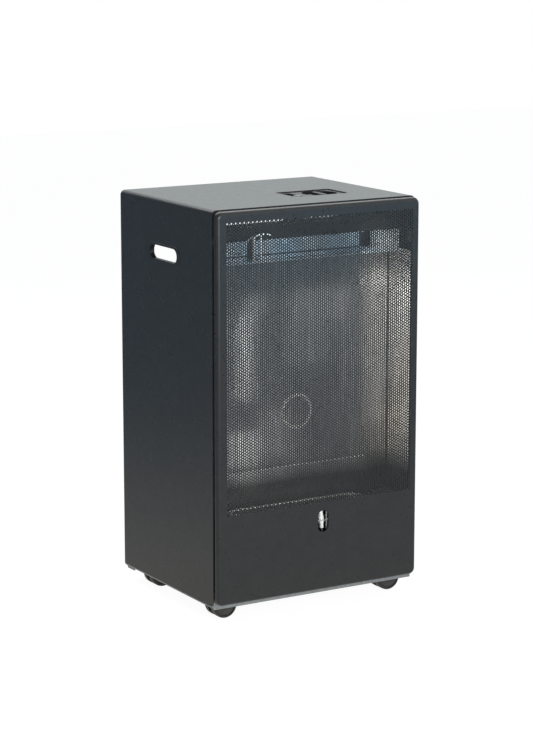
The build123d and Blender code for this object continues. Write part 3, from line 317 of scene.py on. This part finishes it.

# finishes that single pieces have instead
# both reflector finishes carry painted shade at their foot, and the back's in its corners too
reflector_material("reflector_sheet", (0.05, 0.048, 0.045), (0.84, 0.84, 0.83), (0.18, 0.32),
                   metallic=0.7, corners=True)
reflector_material("reflector_wall", (0.055, 0.050, 0.043), (0.86, 0.84, 0.80), (0.22, 0.36),
                   metallic=0.5)
# band and roof are one sheet in two copies: the roof's is lighter for the light that falls on its top,
# and the blue of both is a painted reflection of the sky
band_material("band_sheet_painted_sky_and_shade", (0.02, 0.02, 0.02), (0.37, 0.48, 0.56), (0.30, 0.42))
band_material("roof_sheet_painted_sky_lit", (0.02, 0.02, 0.02), (0.78, 0.88, 0.94), (0.30, 0.42))
zinc_material("shield_sheet", (0.055, 0.057, 0.060), (0.085, 0.088, 0.092), (0.38, 0.52))
# the left catch's finish carries painted shade behind its front plate
catch_material("catch_sheet_painted_shade", (0.03, 0.028, 0.025), (0.84, 0.86, 0.87), (0.34, 0.50))
finish_material("bright_sheet", (0.66, 0.70, 0.73), (0.78, 0.82, 0.85), (0.34, 0.46),
                metallic=DULL_METALLIC, patch=120.0)
finish_material("bead_sheet", (0.72, 0.71, 0.69), (0.86, 0.85, 0.83), (0.24, 0.36),
                metallic=0.2, patch=160.0)
finish_material("hood_sheet", (0.012, 0.013, 0.014), (0.018, 0.019, 0.020), (0.40, 0.50),
                metallic=0.3)
zinc_material("tray_zinc", (0.26, 0.27, 0.28), (0.32, 0.33, 0.34), (0.34, 0.50))
finish_material("hub_plastic", (0.022, 0.020, 0.018), (0.030, 0.027, 0.024), (0.40, 0.50),
                grain=1500.0, grain_height=0.00005)

OWN_FINISH = {
    "reflector_sheet": ("reflector_back", "lower_reflector"),
    "reflector_wall": ("reflector_left", "reflector_right"),
    "band_sheet_painted_sky_and_shade": ("deflector_band",),
    "roof_sheet_painted_sky_lit": ("chamber_roof",),
    "catch_sheet_painted_shade": ("catch_left",),
    "bright_sheet": ("catch_right",),
    "shield_sheet": ("heat_shield",),
    "hood_sheet": ("top_hood",),
    "tray_zinc": ("base_tray", "cover_hooks"),
}
finish_of = {row["node"]: row["material_slot"] for row in frame["record"]["subparts"]}
for finish, names in OWN_FINISH.items():
    for name in names:
        finish_of[name] = finish
for name, node in nodes.items():
    node.data.materials.clear()
    node.data.materials.append(MATERIALS[finish_of[name]])


# ------------------------------------------------------------------ pieces
def piece(name, verts, faces, body, slot, material=None, angle=30.0):
    """Adds a mesh that rides on a body. Its edges over the angle stay sharp, and with no
    angle its faces stay flat."""
    mesh = bpy.data.meshes.new(name)
    mesh.from_pydata(verts, [], faces)
    mesh.validate()
    obj = bpy.data.objects.new(name, mesh)
    scene.collection.objects.link(obj)
    mesh.materials.append(MATERIALS[material or slot])
    if angle is not None:
        mesh.shade_smooth()
        mesh.set_sharp_from_angle(angle=math.radians(angle))
    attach(obj, body)
    return obj


def circle(radius, sides):
    return [(radius * math.cos(2 * math.pi * k / sides), radius * math.sin(2 * math.pi * k / sides))
            for k in range(sides)]


def punched_sheet(first_column, last_column, name):
    """A stretch of the punched sheet: staggered round holes, both faces and the hole walls.
    Each hole stands in a cell of its own, with a corner halfway up its left and right side."""
    field_x, field_y, field_z = limits("front_screen")
    step_x = (field_x[1] - field_x[0]) / HOLE_COLUMNS
    step_z = (field_z[1] - field_z[0]) / HOLE_ROWS
    hole = circle(HOLE_RADIUS, HOLE_SIDES)
    verts, faces, seen = [], [], {}

    def vert(x, z, depth):
        """Number of the corner at that place: depth 0 is the sheet's face and 1 its back."""
        key = (round(x, 4), round(z, 4), depth)
        if key not in seen:
            seen[key] = len(verts)
            verts.append((x * MM, field_y[depth] * MM, z * MM))
        return seen[key]

    for column in range(first_column, last_column):
        x = field_x[0] + (column + 0.5) * step_x
        low, high = x - step_x / 2, x + step_x / 2
        odd = column % 2
        for row in range(HOLE_ROWS - odd):
            z = field_z[1] - (row + 0.5 + 0.5 * odd) * step_z
            cell = [(high, z), (high, z + step_z / 2), (low, z + step_z / 2), (low, z),
                    (low, z - step_z / 2), (high, z - step_z / 2)]
            rims = []
            for depth in (0, 1):
                outer = [vert(*corner, depth) for corner in cell]
                inner = [vert(x + across, z + rise, depth) for across, rise in hole]
                for k in range(HOLE_SIDES):
                    n = (k + 1) % HOLE_SIDES
                    first, second = CELL_CORNERS[k], CELL_CORNERS[n]
                    loop = [inner[k], inner[n], outer[second]]
                    if first != second:
                        loop.append(outer[first])
                    faces.append(loop if depth else loop[::-1])
                rims.append(inner)
            front, back = rims
            for k in range(HOLE_SIDES):
                n = (k + 1) % HOLE_SIDES
                faces.append([front[k], front[n], back[n], back[k]])
        if odd:
            # a staggered column has half a cell of plain sheet at its top and at its foot
            for foot in (field_z[1] - step_z / 2, field_z[0]):
                top = foot + step_z / 2
                for depth in (0, 1):
                    quad = [vert(low, foot, depth), vert(high, foot, depth),
                            vert(high, top, depth), vert(low, top, depth)]
                    faces.append(quad[::-1] if depth else quad)
    obj = piece(name, verts, faces, "cabinet", "charcoal_coat", angle=None)
    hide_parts("front_screen")


columns_each = HOLE_COLUMNS / SHEET_PIECES
for part in range(SHEET_PIECES):
    punched_sheet(round(part * columns_each), round((part + 1) * columns_each),
                  f"punched_sheet_{part + 1}")


def turned(name, profile, centre, axis, steps, body, slot, material):
    """A turned piece: its profile of (radius, height) pairs goes round an axis through centre."""
    along = Vector(axis).normalized()
    across = along.orthogonal().normalized()
    third = along.cross(across)
    verts, faces = [], []
    for radius, height in profile:
        for k in range(steps):
            turn = 2 * math.pi * k / steps
            spot = (Vector(centre) + along * height
                    + (across * math.cos(turn) + third * math.sin(turn)) * radius)
            verts.append(spot * MM)
    for row in range(len(profile) - 1):
        low, high = row * steps, (row + 1) * steps
        for k in range(steps):
            n = (k + 1) % steps
            faces.append([low + k, low + n, high + n, high + k])
    faces.append(list(range(steps))[::-1])
    faces.append([(len(profile) - 1) * steps + k for k in range(steps)])
    piece(name, verts, faces, body, slot, material)


def swept(name, route, section, body, slot, material, closed=False, up=(0, 0, 1), angle=60.0):
    """A bar along a route: the section's (side, up) points are set square to each stretch,
    turned so that its up is as near as can be to the given one."""
    points = [Vector(point) for point in route]
    verts, faces = [], []
    count = len(points)
    for k, point in enumerate(points):
        before = points[k - 1] if k or closed else points[k]
        after = points[(k + 1) % count] if k < count - 1 or closed else points[k]
        heading = (after - before).normalized()
        side = heading.cross(Vector(up)).normalized()
        rise = side.cross(heading)
        verts += [(point + side * a + rise * b) * MM for a, b in section]
    size = len(section)
    for k in range(count if closed else count - 1):
        n = (k + 1) % count
        for j in range(size):
            m = (j + 1) % size
            faces.append([k * size + j, n * size + j, n * size + m, k * size + m])
    if not closed:
        faces.append(list(range(size)))
        faces.append([(count - 1) * size + j for j in range(size)][::-1])
    piece(name, verts, faces, body, slot, material, angle)


# ----------------------------------------------------------- burner chamber
back_face = limits("reflector_back")[1][0]
ring_route = [(RING_X + across, back_face, RING_HEIGHT + rise)
              for across, rise in circle(RING_RADIUS, RING_STEPS)]
swept("ring_bead", ring_route, circle(RING_BEAD, BEAD_SIDES), "cabinet", "galvanised_steel",
      "bead_sheet", closed=True, up=(0, 1, 0))

cabinet_left = limits("cabinet_shell")[0][0]
catch_front, catch_foot = limits("catch_left")[1][0], limits("catch_left")[2][0]
arm_start, arm_end = (math.radians(turn) for turn in ARM_TURN)
arm_route = []
for k in range(ARM_STEPS + 1):
    turn = arm_start + (arm_end - arm_start) * k / ARM_STEPS
    height = ARM_LIFT + ARM_RADIUS * math.sin(turn)
    arm_route.append((cabinet_left + ARM_CENTRE + ARM_RADIUS * math.cos(turn),
                      catch_front + ARM_BACK - ARM_LEAN * height, catch_foot + height))
arm_section = [(-ARM_THICK / 2, -ARM_WIDTH / 2), (ARM_THICK / 2, -ARM_WIDTH / 2),
               (ARM_THICK / 2, ARM_WIDTH / 2), (-ARM_THICK / 2, ARM_WIDTH / 2)]
swept("catch_arm", arm_route, arm_section, "cabinet", "galvanised_steel", "bright_sheet",
      up=(0, 1, 0), angle=30.0)

for side, from_left, from_front, from_top, rise, reach in WIRES:
    plate_x, plate_y, plate_z = limits(f"catch_{side}")
    wire_x = plate_x[0] + from_left
    wire_y = plate_y[0] + from_front
    wire_z = plate_z[1] - from_top
    route = [(wire_x, wire_y, plate_z[0] + WIRE_FOOT), (wire_x, wire_y, wire_z)]
    route += [(wire_x - aside, wire_y - reach * out, wire_z + rise * up + hook)
              for aside, out, up, hook in WIRE_BENDS]
    swept(f"catch_wire_{side}", route, circle(WIRE_RADIUS, BEAD_SIDES), "cabinet",
          "galvanised_steel", "bead_sheet", up=(0, 1, 0.3))

rim_x, rim_y, rim_z = limits("burner_body")
rim_half = (rim_y[1] - rim_y[0]) / 2
rim_turn = rim_half - RIM_BEAD - RIM_INSET
rim_middle = (rim_y[0] + rim_y[1]) / 2
rim_route = []
for centre_x, first in ((rim_x[1] - rim_half, -90.0), (rim_x[0] + rim_half, 90.0)):
    for k in range(RIM_STEPS + 1):
        turn = math.radians(first + 180.0 * k / RIM_STEPS)
        rim_route.append((centre_x + rim_turn * math.cos(turn), rim_middle + rim_turn * math.sin(turn),
                          rim_z[1] - RIM_SINK))
swept("burner_rolled_edge", rim_route, circle(RIM_BEAD, BEAD_SIDES), "cabinet", "stainless_steel",
      "bead_sheet", closed=True)

fold_x, fold_y, fold_z = limits("lower_reflector")
fold_route = [(x, fold_y[1] - FOLD_BACK, fold_z[1] - FOLD_SINK)
              for x in (fold_x[0] + FOLD_END, fold_x[1] - FOLD_END)]
swept("reflector_fold", fold_route, circle(FOLD_BEAD, FOLD_SIDES), "cabinet", "stainless_steel",
      "bead_sheet")

# ---------------------------------------------------------------- castors
for place in ("front_left", "front_right", "rear_left", "rear_right"):
    wheel_x, wheel_y, wheel_z = limits(f"castor_wheels_{place}")
    axle_x = (wheel_x[0] + wheel_x[1]) / 2
    axle_z = (wheel_z[0] + wheel_z[1]) / 2
    for number, (face, outward) in enumerate(((wheel_y[0], -1), (wheel_y[1], 1)), 1):
        turned(f"hub_{place}_{number}", HUB_PROFILE, (axle_x, face, axle_z), (0, outward, 0),
               HUB_STEPS, f"wheels_{place}", "wheel_plastic", "hub_plastic")


# -------------------------------------------------------------- rear cover
def louvre(name, middle, height, cover_back):
    """A pressed louvre, open at its foot: four lines that run in to the cover at both ends."""
    verts, faces = [], []
    for k in range(LOUVRE_STEPS + 1):
        turn = math.pi * k / LOUVRE_STEPS
        x = middle - LOUVRE_HALF * math.cos(turn)
        rise = LOUVRE_RISE * min(1.0, LOUVRE_SWELL * math.sin(turn))
        verts += [(x * MM, y * MM, z * MM) for y, z in (
            (cover_back, height + LOUVRE_TOP),
            (cover_back + LOUVRE_SHOULDER_RISE * rise, height + LOUVRE_SHOULDER),
            (cover_back + rise, height - LOUVRE_LIP),
            (cover_back + rise - min(rise, LOUVRE_SHEET), height - LOUVRE_LIP))]
    for k in range(LOUVRE_STEPS):
        for j in range(3):
            first = 4 * k + j
            faces.append([first, first + 1, first + 5, first + 4])
    piece(name, verts, faces, "cover", "charcoal_coat", angle=50.0)


cover_y, cover_z = limits("rear_cover")[1:]
for side, middle in (("left", -LOUVRE_SIDE), ("right", LOUVRE_SIDE)):
    for row in range(LOUVRE_ROWS):
        louvre(f"louvre_{side}_{row + 1}", middle,
               cover_z[0] + LOUVRE_FIRST + LOUVRE_PITCH * row, cover_y[1])

# ------------------------------------------------------------------ camera
CAMERA_PLACE = (-2240.2, -3749.5, 1287.8)     # millimetres
CAMERA_YAW = 30.81           # degrees to the right of +Y
CAMERA_PITCH = 11.48         # degrees down
CAMERA_LENS = 114.35         # millimetres, for the sensor's width below
CAMERA_SENSOR = 36.0

camera_data = bpy.data.cameras.new("camera")
camera_data.lens = CAMERA_LENS
camera_data.sensor_width = CAMERA_SENSOR
camera_data.sensor_fit = "AUTO"
camera_data.clip_end = 50.0
camera = bpy.data.objects.new("camera", camera_data)
camera.location = [value * MM for value in CAMERA_PLACE]
camera.rotation_euler = (math.radians(90 - CAMERA_PITCH), 0.0, math.radians(-CAMERA_YAW))
scene.collection.objects.link(camera)
scene.camera = camera

# ------------------------------------------------------------------ studio
WHITE = (1.0, 1.0, 1.0)
FLOOR_HALF = 8.0             # metres
FLOOR_COLOUR = (0.8, 0.8, 0.8)
FLOOR_WHITE = 0.86           # share of white in it; the rest is lit and keeps a faint shadow
FLOOR_GLOW = 1.10
FLOOR_NEAR = (0.68, 0.67, 0.63)     # what a reflection sees near the object
FLOOR_FAR = (0.12, 0.20, 0.28)      # and far from it
FAR_FROM = (0.25, 1.8)              # metres
SKY_LIGHT = (0.60, 0.63, 0.66)      # light that falls in from all round
SKY_STRENGTH = 0.5
SKY_SEEN = (0.93, 1.0, 1.0)         # the backdrop as reflections see it, at the right
SKY_LEFT = (0.11, 0.18, 0.26)       # and at the left, where it is dark
SKY_TURN = (-0.35, 0.12)            # sideways part of the direction between the two
SEEN = ("Is Camera Ray", "Is Glossy Ray", "Is Transmission Ray")


def ray_share(tree, kinds):
    """1 where the ray is one of the named kinds, else 0."""
    path = tree.nodes.new("ShaderNodeLightPath")
    total = path.outputs[kinds[0]]
    for kind in kinds[1:]:
        total = maths(tree, "MAXIMUM", total, path.outputs[kind])
    return total


def white_or(tree, reflected):
    """White for the camera, and the reflected colour for every other ray."""
    return mixed(tree, ray_share(tree, SEEN[:1]), reflected, WHITE)


def surface(tree, share, lit, shown, output):
    """Sends an output the lit shader, and as much of the shown one as the share says."""
    mix = tree.nodes.new("ShaderNodeMixShader")
    tree.links.new(share, mix.inputs["Fac"])
    tree.links.new(lit, mix.inputs[1])
    tree.links.new(shown, mix.inputs[2])
    tree.links.new(mix.outputs["Shader"], tree.nodes[output].inputs["Surface"])


floor_tree, floor_shader, floor_where = new_material("pale_floor")
floor_shader.inputs["Base Color"].default_value = (*FLOOR_COLOUR, 1.0)
floor_shader.inputs["Roughness"].default_value = 0.9
distance = floor_tree.nodes.new("ShaderNodeVectorMath")
distance.operation = "LENGTH"
floor_tree.links.new(floor_where, distance.inputs[0])
reflected_floor = mixed(floor_tree,
                        between(floor_tree, distance.outputs["Value"], 0.0, 1.0, *FAR_FROM),
                        FLOOR_NEAR, FLOOR_FAR)
floor_white = floor_tree.nodes.new("ShaderNodeEmission")
floor_white.inputs["Strength"].default_value = FLOOR_GLOW
floor_tree.links.new(white_or(floor_tree, reflected_floor), floor_white.inputs["Color"])
surface(floor_tree, between(floor_tree, ray_share(floor_tree, SEEN), 0.0, FLOOR_WHITE, 0.0, 1.0),
        floor_shader.outputs["BSDF"], floor_white.outputs["Emission"], "Material Output")

floor_mesh = bpy.data.meshes.new("floor")
floor_corners = [(-FLOOR_HALF, -FLOOR_HALF, 0), (FLOOR_HALF, -FLOOR_HALF, 0),
                 (FLOOR_HALF, FLOOR_HALF, 0), (-FLOOR_HALF, FLOOR_HALF, 0)]
floor_mesh.from_pydata(floor_corners, [], [(0, 1, 2, 3)])
floor_mesh.materials.append(MATERIALS["pale_floor"])
floor = bpy.data.objects.new("floor", floor_mesh)
scene.collection.objects.link(floor)

world = bpy.data.worlds.new("studio")
world.use_nodes = True
scene.world = world
sky_tree = world.node_tree
sky_lit = sky_tree.nodes["Background"]
sky_lit.inputs["Color"].default_value = (*SKY_LIGHT, 1.0)
sky_lit.inputs["Strength"].default_value = SKY_STRENGTH
sky_way = sky_tree.nodes.new("ShaderNodeTexCoord").outputs["Generated"]
sky_turn = between(sky_tree, coordinate(sky_tree, sky_way, "X"), 0.0, 1.0, *SKY_TURN)
sky_shown = sky_tree.nodes.new("ShaderNodeBackground")
sky_tree.links.new(white_or(sky_tree, mixed(sky_tree, sky_turn, SKY_LEFT, SKY_SEEN)),
                   sky_shown.inputs["Color"])
surface(sky_tree, ray_share(sky_tree, SEEN), sky_lit.outputs["Background"],
        sky_shown.outputs["Background"], "World Output")

# ------------------------------------------------------------------- lamps
# studio lamps: place, height of the spot on the Z axis that they face, size, watts, colour
STUDIO_LAMPS = {
    "overhead": ((0.3, 1.2, 2.6), 0.6, (3.0, 2.0), 50.0, WHITE),
    "left_fill": ((-2.6, -1.2, 1.2), 0.4, (0.35, 1.8), 3.5, WHITE),
    "front_fill": ((-0.6, -3.2, 1.1), 0.4, (1.8, 1.6), 85.0, WHITE),
    "cool_fill": ((2.0, -3.4, 0.45), 0.7, (1.6, 0.7), 5.0, (0.06, 0.56, 1.0)),
}

INWARD = (0.0, 1.0, 0.0)
RIGHTWARD = (1.0, 0.55, 0.0)
BACK_TINT = (1.0, 1.0, 0.98)
WALL_TINT = (1.0, 0.98, 0.94)
TOP_TINT = (1.0, 0.98, 0.95)
# Slim lamps behind the punched sheet, in millimetres. Most of the chamber's bright patches are
# their reflections. Middle in X, distance behind the sheet, width, lower end, upper end, the
# way that they face, radiance, tint.
CHAMBER_LAMPS = (
    # weak light on the whole chamber
    (0.0, 1.5, 380.0, 240.0, 560.0, INWARD, 0.10, (0.97, 0.99, 1.0)),
    # the chamber's back, at the left of the ring
    (-60.0, 4.0, 18.0, 366.0, 526.0, INWARD, 2.8, BACK_TINT),
    (-42.0, 4.0, 38.0, 524.0, 560.0, INWARD, 0.9, BACK_TINT),
    (-62.0, 4.0, 54.0, 240.0, 306.0, INWARD, 1.5, BACK_TINT),
    (5.0, 4.0, 58.0, 251.0, 341.0, INWARD, 0.5, BACK_TINT),
    # and over the ring
    (100.0, 4.0, 136.0, 501.0, 563.0, INWARD, 0.55, BACK_TINT),
    (76.0, 4.0, 104.0, 421.0, 501.0, INWARD, 0.30, BACK_TINT),
    # the chamber's right wall
    (176.0, 19.0, 40.0, 300.0, 575.0, RIGHTWARD, 1.6, WALL_TINT),
    (172.0, 16.0, 30.0, 552.0, 592.0, RIGHTWARD, 7.0, WALL_TINT),
    (130.0, 13.0, 26.0, 372.0, 582.0, RIGHTWARD, 4.5, WALL_TINT),
    (120.0, 9.0, 14.0, 285.0, 372.0, RIGHTWARD, 3.0, (1.0, 0.97, 0.92)),
    (150.0, 18.0, 40.0, 236.0, 330.0, RIGHTWARD, 1.7, (1.0, 0.90, 0.78)),
    # the band and the catches over the chamber
    (-120.0, 12.0, 170.0, 684.0, 704.0, (0.0, 0.8, -0.6), 2.3, (0.84, 0.95, 1.0)),
    (-84.0, 4.0, 40.0, 644.0, 696.0, INWARD, 1.2, TOP_TINT),
    (176.0, 4.0, 56.0, 640.0, 676.0, INWARD, 0.9, TOP_TINT),
    (110.0, 24.0, 30.0, 650.0, 682.0, (1.0, 0.25, 0.0), 9.0, TOP_TINT),
    (-80.0, 40.0, 240.0, 712.0, 732.0, (0.0, 0.0, -1.0), 13.0, (0.92, 0.97, 1.0)),
    (60.0, 34.0, 290.0, 722.0, 730.0, (0.0, 1.0, -0.15), 16.0, (0.95, 0.98, 1.0)),
    # the burner's rim
    (-64.0, 6.0, 290.0, 226.0, 234.0, (0.0, 0.3, -1.0), 2.6, (1.0, 0.99, 0.97)),
)


def softbox(name, place, target, size, watts, colour):
    data = bpy.data.lights.new(name, "AREA")
    data.shape = "RECTANGLE"
    data.size, data.size_y = size
    data.energy = watts
    data.color = colour
    lamp = bpy.data.objects.new(name, data)
    lamp.location = place
    lamp.rotation_euler = (Vector(target) - Vector(place)).to_track_quat("-Z", "Y").to_euler()
    scene.collection.objects.link(lamp)
    return lamp


for name, (place, faced_height, size, watts, colour) in STUDIO_LAMPS.items():
    softbox(name, place, (0, 0, faced_height), size, watts, colour)

sheet_back = limits("front_screen")[1][1]
for number, row in enumerate(CHAMBER_LAMPS, 1):
    x, inside, width, low, high, heading, radiance, tint = row
    height = high - low
    spot = Vector((x, sheet_back + inside, (low + high) / 2)) * MM
    lamp = softbox(f"chamber_fill_{number}", spot, spot + Vector(heading),
                   (width * MM, height * MM), radiance * math.pi * width * height * MM * MM, tint)
    lamp.visible_camera = False

scene.view_settings.view_transform = "Standard"
